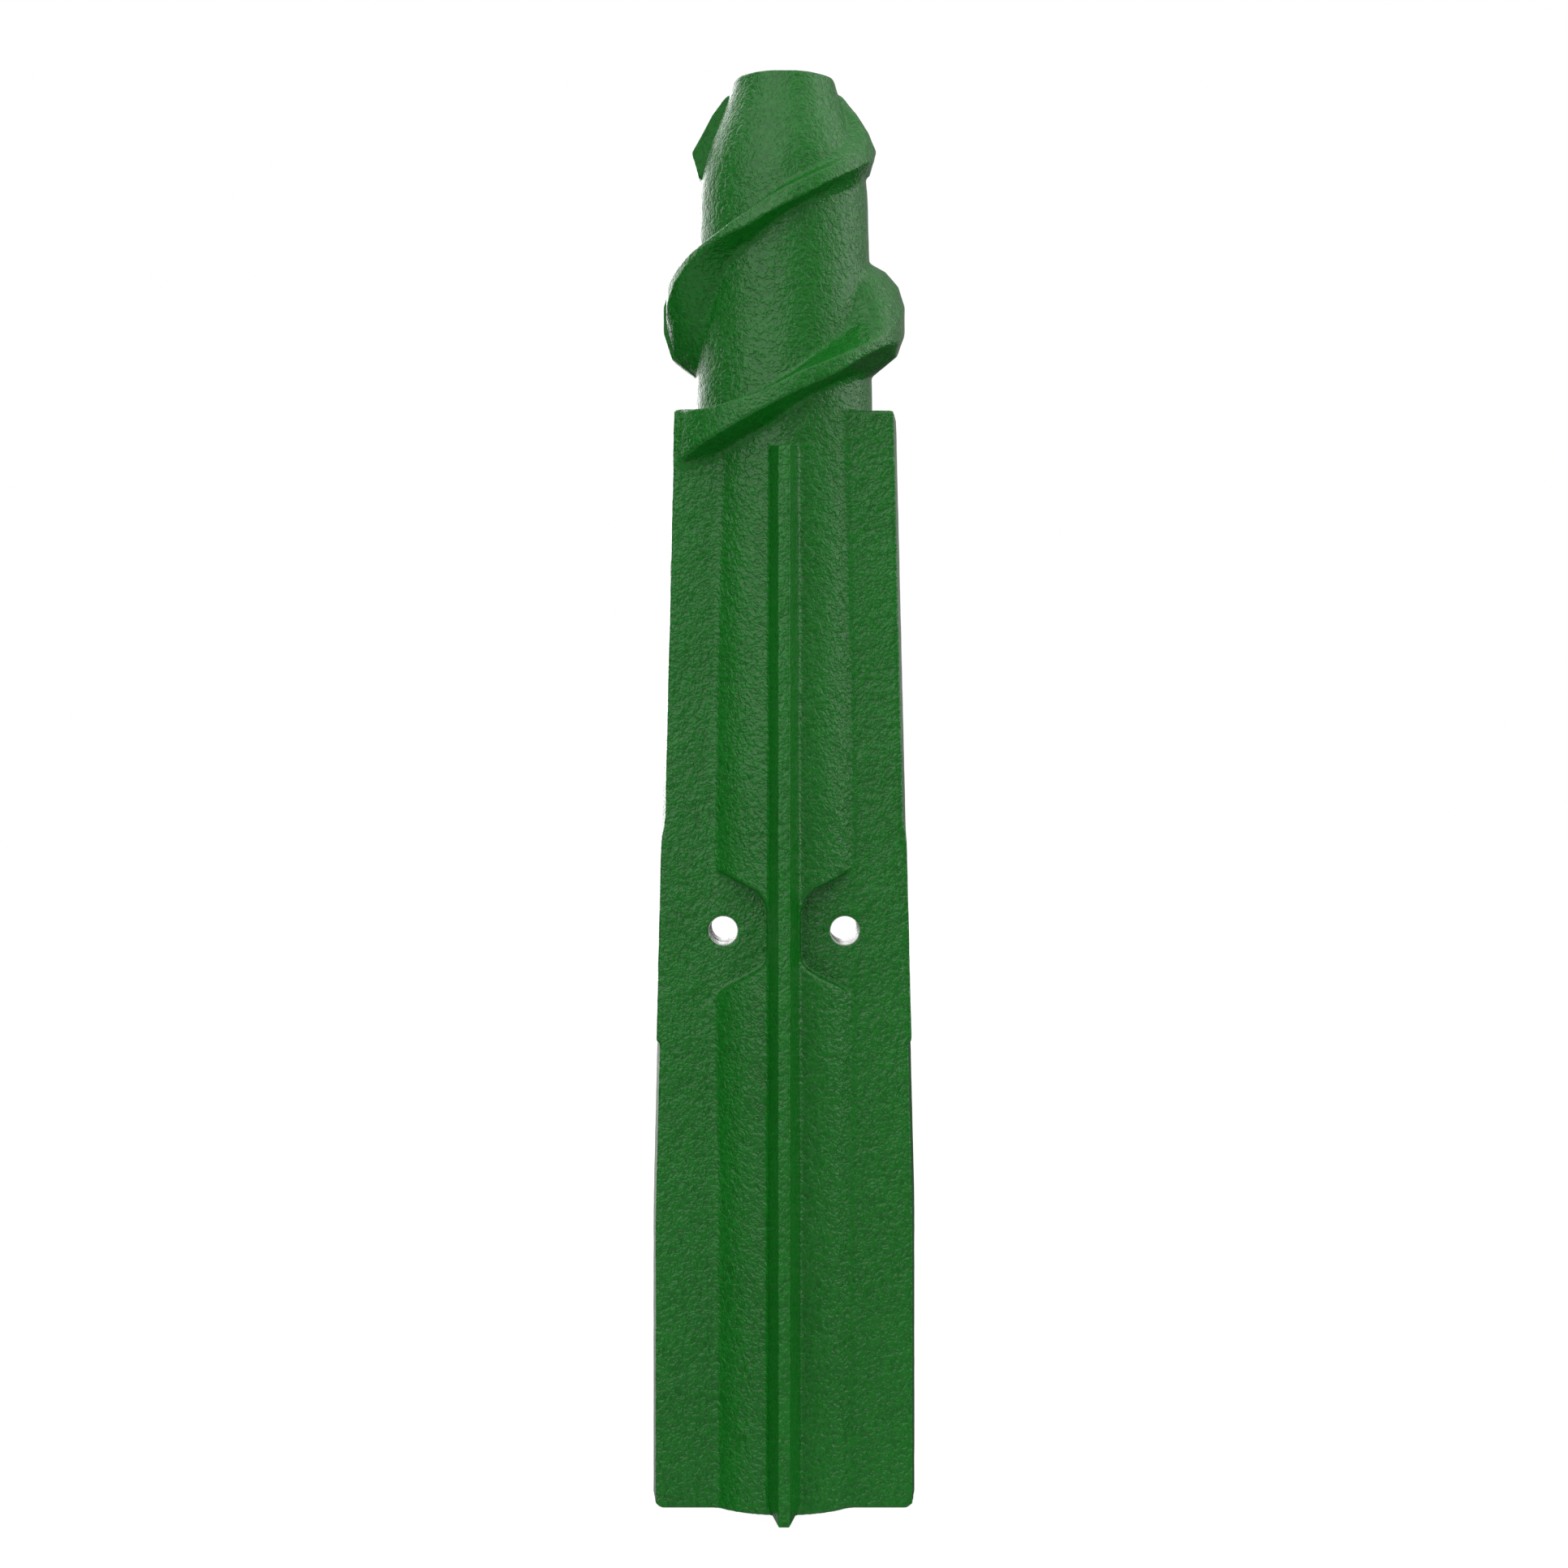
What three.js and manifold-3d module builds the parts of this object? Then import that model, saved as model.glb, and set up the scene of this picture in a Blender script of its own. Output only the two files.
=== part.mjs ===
// Two-piece cast stalk roll: a tapered round body with four lengthwise blades
// (two broad side shoulders on the parting line, one narrow rib front and back)
// and an ogive nose that carries a two-start, right-handed feed flight.
// Both halves are the same casting. They meet on the plane y = 0 and clamp a
// hexagonal drive shaft between them with two through bolts.
// Millimetres, +Z up. Origin: centre of the drive-end face, on the roll's axis.
// The front half lies on -Y. Angles are in degrees, counted from -Y towards +X.

import * as THREE from 'three';
import { mergeVertices } from 'three/addons/utils/BufferGeometryUtils.js';
import Module from 'manifold-3d';

// ---------------------------------------------------------------- dimensions
const LENGTH = 552;              // drive-end face to flat nose tip
const PARTING_GAP = 0.15;        // each half stops this far short of y = 0
const HALF_REACH = 80;           // extent of the box that cuts out one half, beyond all parts
const WALL = 8;

// round body and nose: [z, outer radius]
const DRIVE_END_RADIUS = 33.6;
const BODY_PROFILE = [
  [0, DRIVE_END_RADIUS], [130, DRIVE_END_RADIUS],
  [175, 34.4], [270, 34.4], [330, 33.9], [425, 34.5],
  [482.5, 33.3], [507, 32.7], [514.9, 31.9], [522.2, 30.3], [530.7, 27.3],
  [539, 23.8], [545, 21.6], [550.6, 20], [LENGTH, 18.9],
];
const LATHE_SEGMENTS = 64;

// all four blades are this wide from the axis, up to where they start to taper
const BLADE_RADIUS = 50.9;
const BLADE_TAPER_START = 111.1;

// side shoulders on the parting line: [z, half-width on the parting plane, half-thickness]
const SHOULDER_THICKNESS = 22.2; // half-thickness, below the thicker top end
const SHOULDER_DRAFT = 2;        // the outer faces lean in by this much over the half-thickness
const SHOULDERS = [
  [0, 49, SHOULDER_THICKNESS],
  [1.6, BLADE_RADIUS, SHOULDER_THICKNESS],
  [BLADE_TAPER_START, BLADE_RADIUS, SHOULDER_THICKNESS],
  [320.5, 46, SHOULDER_THICKNESS],
  [420.3, 43.6, 25.6],
];

// narrow rib: [z, crest radius, half-width at the foot]
const RIB_CREST_HALF = 2.15;     // half-width at the crest
const RIB_CHAMFER = 0.5;         // along both crest edges
const RIB_FOOT_RADIUS = 33;      // where its flanks reach the body
const RIB_BASE_RADIUS = 20;      // how deep it is rooted
const RIB = [
  [0, BLADE_RADIUS, 4.5],
  [4, BLADE_RADIUS, 6.3],
  [BLADE_TAPER_START, BLADE_RADIUS, 6.3],
  [405.2, 44, 5.8],
];

// feed flight, one strand in two runs that meet at the parting plane, as sections
// at fixed angles: [angle, then radius and z of: lower root, lower crest edge,
// upper crest edge, two points on the upper side, upper root]
const FLIGHT_LOWER = [
  [-66, 34.45, 397.84, 46.51, 400.04, 46.51, 419.54, 42.49, 419.74, 38.47, 419.93, 34.45, 420.12],
  [-60, 34.45, 398.16, 47.47, 400.27, 47.47, 419.54, 43.13, 419.74, 38.79, 419.93, 34.45, 420.12],
  [-54, 34.45, 399.38, 47.58, 401.42, 47.58, 419.54, 43.2, 419.74, 38.83, 419.94, 34.45, 420.13],
  [-48, 34.45, 402.3, 47.43, 403.84, 47.43, 419.56, 43.1, 419.77, 38.78, 419.97, 34.45, 420.18],
  [-42, 34.45, 404.54, 47.34, 406.21, 47.34, 419.61, 43.04, 419.86, 38.74, 420.11, 34.45, 420.36],
  [-36, 34.45, 406.09, 47.25, 408.23, 47.25, 419.91, 42.98, 420.29, 38.71, 420.66, 34.45, 421.04],
  [-30, 34.45, 407.78, 47.16, 410.4, 47.16, 420.57, 42.92, 421.11, 38.68, 421.65, 34.45, 422.19],
  [-24, 34.45, 409.58, 47.15, 412.67, 47.15, 421.73, 42.92, 422.35, 38.68, 422.98, 34.45, 423.6],
  [-18, 34.45, 411.65, 47.15, 415.02, 47.15, 422.92, 42.93, 423.66, 38.7, 424.39, 34.48, 425.12],
  [-12, 34.45, 413.81, 47.15, 417.44, 47.15, 424.4, 42.93, 425.2, 38.71, 425.99, 34.48, 426.78],
  [-6, 34.45, 416.06, 47.15, 419.9, 47.15, 426.43, 42.91, 427.2, 38.68, 427.98, 34.44, 428.76],
  [0, 34.45, 418.46, 47.15, 422.39, 47.15, 428.92, 42.9, 429.65, 38.64, 430.38, 34.39, 431.1],
  [6, 34.45, 421.05, 47.15, 424.78, 47.15, 431.51, 42.88, 432.11, 38.61, 432.7, 34.34, 433.29],
  [12, 34.45, 423.51, 47.15, 427.01, 47.15, 433.67, 42.86, 434.46, 38.57, 435.26, 34.28, 436.06],
  [18, 34.45, 425.73, 47.15, 429.23, 47.15, 435.66, 42.84, 436.8, 38.53, 437.93, 34.22, 439.07],
  [24, 34.46, 427.61, 47.15, 431.65, 47.15, 437.8, 42.82, 439.18, 38.49, 440.55, 34.15, 441.93],
  [30, 34.43, 429.3, 47.15, 434.35, 47.15, 439.95, 42.8, 441.56, 38.45, 443.16, 34.09, 444.78],
  [36, 34.4, 430.81, 47.15, 437.16, 47.15, 442.09, 42.77, 443.89, 38.4, 445.69, 34.03, 447.49],
  [42, 34.36, 432.22, 47.15, 439.78, 47.15, 444.25, 42.75, 446.37, 38.36, 448.5, 33.97, 450.62],
  [48, 34.33, 433.62, 47.15, 441.91, 47.15, 446.53, 42.78, 449.56, 38.35, 452.54, 33.86, 455.45],
  [54, 34.31, 434.61, 47.15, 443.83, 47.15, 449.08, 42.98, 454.2, 38.49, 459.02, 33.69, 463.51],
  [60, 34.31, 434.95, 47.15, 445.39, 47.15, 451.77, 43.2, 458.78, 38.66, 465.18, 33.52, 471],
  [66, 34.3, 435.52, 47.15, 446.57, 47.15, 454.63, 43.45, 462.19, 38.88, 468.88, 33.44, 474.69],
  [72, 34.29, 436.04, 47.15, 447.84, 47.15, 457.42, 43.71, 465.26, 39.12, 471.94, 33.39, 477.46],
  [78, 34.27, 436.45, 47.15, 449.37, 47.15, 460.09, 43.98, 467.95, 39.38, 474.38, 33.34, 479.37],
  [84, 34.26, 436.91, 47.15, 451.14, 47.15, 462.76, 44.25, 470.36, 39.64, 476.24, 33.32, 480.41],
  [90, 34.25, 437.33, 47.15, 452.82, 47.15, 465.11, 44.5, 472.34, 39.88, 477.61, 33.31, 480.91],
];
const FLIGHT_UPPER = [
  [90, 34.25, 437.51, 45.47, 452.53, 45.47, 465.1, 43.12, 472.11, 39.07, 477.41, 33.31, 481],
  [96, 34.23, 438.52, 45.98, 455.9, 45.98, 467.37, 43.22, 473.44, 38.99, 478.04, 33.3, 481.17],
  [102, 34.18, 440.45, 46.68, 459.71, 46.46, 469.55, 43.23, 474.62, 38.85, 478.53, 33.3, 481.29],
  [108, 34.1, 444.24, 47.14, 463.52, 46.37, 471.67, 42.8, 475.61, 38.45, 478.76, 33.31, 481.11],
  [114, 33.99, 449.56, 47.01, 467.53, 45.74, 474.72, 42, 477.22, 37.86, 479.3, 33.31, 480.98],
  [120, 33.85, 455.81, 46.45, 471.31, 45.17, 477.44, 41.29, 478.72, 37.34, 479.93, 33.31, 481.06],
  [126, 33.7, 462.87, 45.74, 474.71, 44.65, 479.9, 40.86, 480.71, 37.07, 481.52, 33.28, 482.33],
  [132, 33.57, 469.12, 45.05, 478.02, 44.21, 482.02, 40.55, 482.76, 36.89, 483.5, 33.23, 484.24],
  [138, 33.45, 474.46, 44.43, 480.95, 43.77, 484.11, 40.24, 484.85, 36.71, 485.59, 33.18, 486.33],
  [144, 33.37, 478.34, 43.94, 483.33, 43.27, 486.49, 39.89, 487.23, 36.51, 487.97, 33.13, 488.72],
  [150, 33.32, 480.68, 43.57, 485.08, 42.7, 489.22, 39.49, 489.96, 36.27, 490.7, 33.06, 491.44],
  [156, 33.26, 483.04, 43.25, 486.62, 42.16, 491.82, 39.11, 492.56, 36.05, 493.3, 33, 494.04],
  [162, 33.2, 485.65, 42.85, 488.52, 41.6, 494.46, 38.72, 495.2, 35.83, 495.94, 32.93, 496.69],
  [168, 33.13, 488.57, 42.33, 490.96, 41.03, 497.21, 38.31, 497.95, 35.59, 498.69, 32.87, 499.43],
  [174, 33.06, 491.42, 41.83, 493.35, 40.49, 499.82, 37.92, 500.52, 35.37, 501.22, 32.81, 501.92],
  [180, 33, 494.16, 41.34, 495.69, 39.96, 502.31, 37.56, 502.97, 35.16, 503.62, 32.76, 504.27],
  [186, 32.95, 496.22, 40.88, 497.93, 39.52, 504.41, 37.25, 505.11, 34.98, 505.8, 32.7, 506.5],
  [192, 32.91, 498.07, 40.4, 500.21, 39.1, 506.43, 36.93, 507.17, 34.76, 507.91, 32.6, 508.65],
  [198, 32.86, 499.83, 39.89, 502.62, 38.67, 508.48, 36.58, 509.22, 34.48, 509.96, 32.39, 510.7],
  [204, 32.83, 501.51, 39.41, 504.94, 38.25, 510.46, 36.23, 511.21, 34.19, 511.97, 32.16, 512.72],
  [210, 32.79, 502.92, 38.99, 506.96, 37.89, 512.21, 35.89, 513.02, 33.9, 513.83, 31.9, 514.64],
  [216, 32.76, 504.29, 38.58, 508.92, 37.52, 514.01, 35.52, 514.89, 33.54, 515.79, 31.55, 516.69],
  [222, 32.72, 505.66, 38.18, 510.83, 37.12, 515.91, 35.09, 516.93, 33.07, 517.96, 31.04, 518.99],
  [228, 32.68, 507.05, 37.79, 512.69, 36.72, 517.79, 34.68, 519.02, 32.6, 520.21, 30.49, 521.36],
  [234, 32.56, 508.6, 37.45, 514.32, 36.35, 519.55, 34.47, 521.41, 32.17, 522.95, 29.63, 524.16],
  [240, 32.44, 510.16, 37.12, 515.88, 35.99, 521.25, 34.31, 523.82, 31.8, 525.82, 28.65, 527.17],
  [246, 32.3, 511.52, 36.83, 517.24, 35.68, 522.64, 34.29, 526.13, 31.75, 529.18, 27.16, 531.21],
  [252, 32.18, 512.67, 36.47, 518.3, 35.65, 523.79, 34.05, 528.57, 31.03, 533.12, 25.36, 535.84],
  [258, 32.1, 513.49, 35.95, 518.86, 36.02, 524.53, 33.41, 530.72, 29.3, 537.21, 23.49, 540.74],
  [264, 32.02, 514.22, 35.44, 519.44, 36.04, 524.99, 32.82, 531, 28.43, 538.72, 22.82, 543.94],
  [270, 31.95, 514.87, 34.98, 519.96, 36.04, 525.38, 32.3, 531.13, 27.71, 539.89, 22.3, 546.66],
];
const FLIGHT_BITE = 5;           // how far each strand's root is sunk in the body wall
const FLIGHT_ROOT = 1.2;         // how far its flanks run on inside the wall
const FLIGHT_OVERRUN = 3;        // degrees a run carries on past the parting plane
const LOWER_FLANK_SHARE = 0.76;  // place of the lower flank's bend, from root to crest edge
const SWELL = { drop: 4.5, angle: 88, spread: 16 };  // bell-shaped bulge of that bend

// bolts: one each side of the rib, through both halves
const BOLT_X = 23.3;
const BOLT_Z = 221.3;
const BOLT_HOLE = { radius: 5.45, length: 120, segments: 24 };

// bolt seats: pockets sunk into the round body, flush with the shoulder face
const SEAT_OUTLINE = [           // right-hand seat, [x, z]
  [24.6, 243.9], [17.1, 240.1], [10.9, 237], [7.1, 232], [5.6, 226.8],
  [5.6, 213.4], [8.6, 207.2], [13.7, 204.1], [20.8, 200.3], [24.3, 197.8],
];
const SEAT_OUTER_X = 60;         // the outline opens sideways out to here
const SEAT_FLARE = 2;            // and widens by this much at each end
const SEAT_CUT = 40;             // depth of the cutter, outwards from the seat plane

// cored inside: hexagonal seat for the drive shaft, carried by three webs
const HEX_CORNER = 14.9;         // bore corner radius: 25.8 across flats
const HEX_TOP = 334;
const HEX_OVERCUT = 5;           // the cutter starts this far below the drive-end face
const CHAMBERS = [[14, 193], [250, 318], [HEX_TOP, 411]];  // hollow lengths in the body
const CHAMBER_RADIUS = DRIVE_END_RADIUS - WALL;
const SIDE_WALL_EXTRA = 0.8;     // added to the wall at the outer edge of the shoulders
const NOSE_CORE = [              // [z, inner radius] of the hollow nose
  [HEX_TOP, 26], [425, 26.4], [482.5, 25.3], [507, 24.4], [520, 21], [530, 15.5], [538, 7],
];

// ---------------------------------------------------------------- solid helpers
const { Manifold, Mesh: SolidMesh, setup } = await Module().then((wasm) => {
  wasm.setup();
  return wasm;
});

// Welds a geometry into a solid, dropping collapsed triangles and facing the rest outwards.
function toSolid(geometry) {
  for (const key of Object.keys(geometry.attributes)) {
    if (key !== 'position') geometry.deleteAttribute(key);
  }
  const merged = mergeVertices(geometry, 1e-4);
  const { position } = merged.attributes;
  const index = merged.index.array;
  const corners = [new THREE.Vector3(), new THREE.Vector3(), new THREE.Vector3()];
  const kept = [];
  let volume = 0;
  for (let i = 0; i < index.length; i += 3) {
    const triangle = [index[i], index[i + 1], index[i + 2]];
    if (new Set(triangle).size < 3) continue;
    kept.push(...triangle);
    triangle.forEach((vertex, j) => corners[j].fromBufferAttribute(position, vertex));
    volume += corners[0].dot(corners[1].cross(corners[2])) / 6;
  }
  if (volume < 0) {
    for (let i = 0; i < kept.length; i += 3) {
      [kept[i + 1], kept[i + 2]] = [kept[i + 2], kept[i + 1]];
    }
  }
  return new Manifold(new SolidMesh({
    numProp: 3,
    vertProperties: new Float32Array(position.array),
    triVerts: new Uint32Array(kept),
  }));
}

function toGeometry(solid) {
  const mesh = solid.getMesh();
  const geometry = new THREE.BufferGeometry();
  const positions = new Float32Array(mesh.vertProperties);
  geometry.setAttribute('position', new THREE.BufferAttribute(positions, 3));
  geometry.setIndex(new THREE.BufferAttribute(new Uint32Array(mesh.triVerts), 1));
  return geometry;
}

// A solid skinned over a row of outlines with the same number of points:
// an extrusion whose rings are then put where each section belongs.
function skin(outlines, place) {
  const base = outlines[0].map(([u, v]) => new THREE.Vector2(u, v));
  const steps = outlines.length - 1;
  const shape = new THREE.Shape(base);
  const geometry = new THREE.ExtrudeGeometry(shape, { depth: steps, steps, bevelEnabled: false });
  const { position } = geometry.attributes;
  for (let i = 0; i < position.count; i++) {
    const vertex = new THREE.Vector2(position.getX(i), position.getY(i));
    const distances = base.map((point) => point.distanceToSquared(vertex));
    const nearest = distances.indexOf(Math.min(...distances));
    const ring = Math.round(position.getZ(i));
    position.setXYZ(i, ...place(outlines[ring][nearest], ring));
  }
  return toSolid(geometry);
}

// A solid through level outlines, one for each row [z, ...sizes].
function loft(rows, outlineOf) {
  return skin(rows.map(outlineOf), ([x, y], ring) => [x, y, rows[ring][0]]);
}

// A solid turned about the Z axis from [z, radius] points, closed at both ends.
function lathe(profile) {
  const points = [[profile[0][0], 0], ...profile, [profile.at(-1)[0], 0]]
    .map(([z, radius]) => new THREE.Vector2(radius, z));
  return toSolid(new THREE.LatheGeometry(points, LATHE_SEGMENTS).rotateX(Math.PI / 2));
}

// ---------------------------------------------------------------- outer form
function shoulders() {
  return loft(SHOULDERS, ([, width, thickness]) => {
    const face = width - SHOULDER_DRAFT;
    return [
      [width, 0], [face, thickness], [-face, thickness],
      [-width, 0], [-face, -thickness], [face, -thickness],
    ];
  });
}

function rib() {
  const flat = RIB_CREST_HALF - RIB_CHAMFER;
  return loft(RIB, ([, crest, foot]) => [
    [-foot, -RIB_BASE_RADIUS], [-foot, -RIB_FOOT_RADIUS],
    [-RIB_CREST_HALF, -crest + RIB_CHAMFER], [-flat, -crest],
    [flat, -crest], [RIB_CREST_HALF, -crest + RIB_CHAMFER],
    [foot, -RIB_FOOT_RADIUS], [foot, -RIB_BASE_RADIUS],
  ]);
}

// Outline [radius, z] of one flight section. Both flanks carry on straight into the
// body wall before they turn inwards; the lower one swells out near the parting plane.
function flightOutline([angle, rootR, rootZ, edgeR, edgeZ, ...upperSide]) {
  const [crestR, crestZ, outerR, outerZ, innerR, innerZ, topR, topZ] = upperSide;
  const swell = SWELL.drop * Math.exp(-(((angle - SWELL.angle) / SWELL.spread) ** 2));
  const bendR = rootR + LOWER_FLANK_SHARE * (edgeR - rootR);
  const bendZ = rootZ + LOWER_FLANK_SHARE * (edgeZ - rootZ) - swell;
  const low = rootZ - ((bendZ - rootZ) / (bendR - rootR)) * FLIGHT_ROOT;
  const high = topZ + ((topZ - innerZ) / (innerR - topR)) * FLIGHT_ROOT;
  return [
    [rootR - FLIGHT_BITE, low], [rootR - FLIGHT_ROOT, low], [bendR, bendZ],
    [edgeR, edgeZ], [crestR, crestZ], [outerR, outerZ], [innerR, innerZ],
    [topR - FLIGHT_ROOT, high], [topR - FLIGHT_BITE, high],
  ];
}

function flightRun(sections) {
  return skin(sections.map(flightOutline), ([radius, z], ring) => {
    const angle = THREE.MathUtils.degToRad(sections[ring][0]);
    return [radius * Math.sin(angle), -radius * Math.cos(angle), z];
  });
}

// the same section, turned on about the axis
const turned = ([angle, ...points], by) => [angle + by, ...points];

function lowerRun() {
  return flightRun([...FLIGHT_LOWER, turned(FLIGHT_LOWER.at(-1), FLIGHT_OVERRUN)]);
}

// the run up the rear half, brought round to the front because both halves are alike
function upperRun() {
  const sections = [turned(FLIGHT_UPPER[0], -FLIGHT_OVERRUN), ...FLIGHT_UPPER];
  return flightRun(sections).rotate([0, 0, 180]);
}

// ---------------------------------------------------------------- cutters
// bolt seat on the +X (side = 1) or -X (side = -1) side
function seat(side) {
  const outline = [
    [SEAT_OUTER_X, SEAT_OUTLINE[0][1] + SEAT_FLARE],
    ...SEAT_OUTLINE,
    [SEAT_OUTER_X, SEAT_OUTLINE.at(-1)[1] - SEAT_FLARE],
  ];
  const shape = new THREE.Shape(outline.map(([x, z]) => new THREE.Vector2(side * x, z)));
  const geometry = new THREE.ExtrudeGeometry(shape, { depth: SEAT_CUT, bevelEnabled: false });
  return toSolid(geometry.rotateX(Math.PI / 2).translate(0, -SHOULDER_THICKNESS, 0));
}

function boltHole(side) {
  const { radius, length, segments } = BOLT_HOLE;
  const geometry = new THREE.CylinderGeometry(radius, radius, length, segments);
  return toSolid(geometry.translate(side * BOLT_X, 0, BOLT_Z));
}

// two opposite corners of the hexagon lie on the parting plane
function hexBore() {
  const height = HEX_TOP + HEX_OVERCUT;
  const geometry = new THREE.CylinderGeometry(HEX_CORNER, HEX_CORNER, height, 6)
    .rotateX(Math.PI / 2)
    .rotateZ(Math.PI / 6)
    .translate(0, 0, (HEX_TOP - HEX_OVERCUT) / 2);
  return toSolid(geometry);
}

// row [z, half-width, half-thickness] of the shoulders at a height between their ends
function shoulderAt(z) {
  const next = SHOULDERS.findIndex((row) => z <= row[0]);
  const below = SHOULDERS[next - 1];
  const above = SHOULDERS[next];
  const share = (z - below[0]) / (above[0] - below[0]);
  return [z, ...[1, 2].map((column) => below[column] + share * (above[column] - below[column]))];
}

// a round hollow with wings that reach into both shoulders
function chamber(ends) {
  const wings = loft(ends.map(shoulderAt), ([, shoulderWidth, shoulderThickness]) => {
    const width = shoulderWidth - WALL - SIDE_WALL_EXTRA;
    const thickness = shoulderThickness - WALL;
    return [[width, -thickness], [width, thickness], [-width, thickness], [-width, -thickness]];
  });
  return wings.add(lathe(ends.map((z) => [z, CHAMBER_RADIUS])));
}

// ---------------------------------------------------------------- one half
// everything in front of the parting plane, between the drive-end face and the nose tip
function frontSpace() {
  const geometry = new THREE.BoxGeometry(2 * HALF_REACH, HALF_REACH - PARTING_GAP, LENGTH);
  return toSolid(geometry.translate(0, -(HALF_REACH + PARTING_GAP) / 2, LENGTH / 2));
}

function castHalf() {
  let casting = lathe(BODY_PROFILE);
  // the seats are cut first, so that they leave the shoulders and rib whole
  for (const side of [1, -1]) casting = casting.subtract(seat(side));
  for (const part of [shoulders(), rib(), lowerRun(), upperRun()]) casting = casting.add(part);
  const hollows = [
    hexBore(), lathe(NOSE_CORE), ...CHAMBERS.map(chamber), boltHole(1), boltHole(-1),
  ];
  for (const hollow of hollows) casting = casting.subtract(hollow);
  return casting.intersect(frontSpace());
}

// ---------------------------------------------------------------- scene graph
const half = castHalf();

function rollHalf(name, turn) {
  const paint = new THREE.MeshStandardMaterial({ color: 0x2b6a2c, roughness: 0.5, metalness: 0 });
  const mesh = new THREE.Mesh(toGeometry(half), paint);
  mesh.name = name;
  mesh.rotation.z = turn;
  return mesh;
}

const roll = new THREE.Group();
roll.add(rollHalf('roll_half_front', 0), rollHalf('roll_half_rear', Math.PI));

export default roll;
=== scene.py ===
# A cast roll made of two equal halves, 552 mm long, standing on z = 0 with its axis along +Z.
# The parting plane is y = 0. The front half lies on -Y, toward the camera; the rear half is
# the same casting turned half a turn about the axis. Shapes are worked out in millimetres
# as a distance field (negative inside) and turned to metres when the mesh is made.
import math

import bpy
import numpy as np
from mathutils import Matrix, Vector


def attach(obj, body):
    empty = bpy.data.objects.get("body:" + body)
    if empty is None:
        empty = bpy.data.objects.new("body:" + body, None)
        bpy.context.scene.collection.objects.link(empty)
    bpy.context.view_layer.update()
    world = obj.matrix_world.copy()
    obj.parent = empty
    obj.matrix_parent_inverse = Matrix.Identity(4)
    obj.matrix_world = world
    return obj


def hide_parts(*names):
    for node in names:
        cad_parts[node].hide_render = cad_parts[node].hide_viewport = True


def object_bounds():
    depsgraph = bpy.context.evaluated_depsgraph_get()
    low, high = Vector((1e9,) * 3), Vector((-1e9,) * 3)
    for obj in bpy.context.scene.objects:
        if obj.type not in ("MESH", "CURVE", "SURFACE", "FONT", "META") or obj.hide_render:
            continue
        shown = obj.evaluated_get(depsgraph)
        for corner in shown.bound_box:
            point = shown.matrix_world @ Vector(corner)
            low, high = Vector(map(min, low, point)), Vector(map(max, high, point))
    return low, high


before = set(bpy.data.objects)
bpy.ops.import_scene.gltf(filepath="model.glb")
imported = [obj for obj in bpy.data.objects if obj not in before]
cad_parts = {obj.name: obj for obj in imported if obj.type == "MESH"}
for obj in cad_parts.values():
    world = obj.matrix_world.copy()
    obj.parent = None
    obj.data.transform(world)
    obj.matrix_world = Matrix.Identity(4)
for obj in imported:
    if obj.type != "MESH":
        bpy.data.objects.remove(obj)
CAD_BOX = [list(map(float, corner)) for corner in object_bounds()]
MM = 1000.0     # millimetres in a metre

# ---------------------------------------------------------------------------
# Sizes of the casting, mm. Tables run along z unless noted.
# ---------------------------------------------------------------------------
LENGTH = 552.0
PARTING_GAP = 0.02
# z, radius of the round body
BODY_PROFILE = [
    (0, 33.6), (130, 33.6), (175, 34.4), (270, 34.4), (330, 33.9), (425, 34.5),
    (482.5, 33.3), (507, 32.7), (514.9, 31.9), (522.2, 30.3), (530.7, 27.3),
    (539.0, 23.8), (545.0, 21.6), (550.6, 20.0), (LENGTH, 19.4),
]
# the shoulders stand out on both sides along X: z, then half-width or thickness in depth
SHOULDER_TOP = 420.3
STRAIGHT_TOP = 111.1    # shoulders and rib start to taper here
SHOULDER_WIDTH = [(0, 51.15), (STRAIGHT_TOP, 51.15), (320.5, 46.25), (SHOULDER_TOP, 43.85),
                  (430, 43.65)]
SHOULDER_THICKNESS = [(0, 22.2), (320.5, 22.2), (SHOULDER_TOP, 25.6)]
# the rib runs up the middle of the half: z, then depth of the crest or half-width of the foot
RIB_TOP = 405.2
RIB_CREST = [(0, 50.9), (STRAIGHT_TOP, 50.9), (RIB_TOP, 44.0)]
RIB_FOOT = [(0, 4.5), (4, 6.3), (STRAIGHT_TOP, 6.3), (RIB_TOP, 5.8)]
RIB_FOOT_DEPTH = 33.0
RIB_CREST_HALF = 2.15
RIB_START_DEPTH = 8.0
RIB_FLANK_SCALE = 0.968     # keeps the distance true on the sloping flanks
# bolt bores run through along Y, each in a seat cut flat into the round body
BOLT_X, BOLT_Z, BOLT_R = 23.3, 221.3, 5.45
SEAT_DEPTH = 22.2
# distance from the middle, z of the curved inner edge of a seat, from the top down
SEAT_EDGE = [
    (26.5, 245.5), (24.6, 243.9), (17.1, 240.1), (10.9, 237.0), (7.3, 232.4), (5.6, 226.8),
    (5.6, 213.4), (8.4, 207.4), (13.5, 204.1), (20.8, 200.3), (24.3, 197.8), (26.5, 195.5),
]
SEAT_OUTER = [(70, 190), (70, 251)]     # corners closing the seat beyond the body
# hollow inside
HEX_APOTHEM, HEX_TOP = 12.9, 334.0
SIN_60 = 0.8660254
WALL = 8.0
CHAMBERS = [(14, 193), (250, 318), (334, 411)]      # bottom z, top z
CHAMBER_RADIUS = 25.6
# z, radius of the hollow in the upper end
NOSE_CORE = [(334, 26.0), (425, 26.4), (482.5, 25.3), (507, 24.4), (520, 21.0), (530, 15.5),
             (538, 7.0)]
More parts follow.
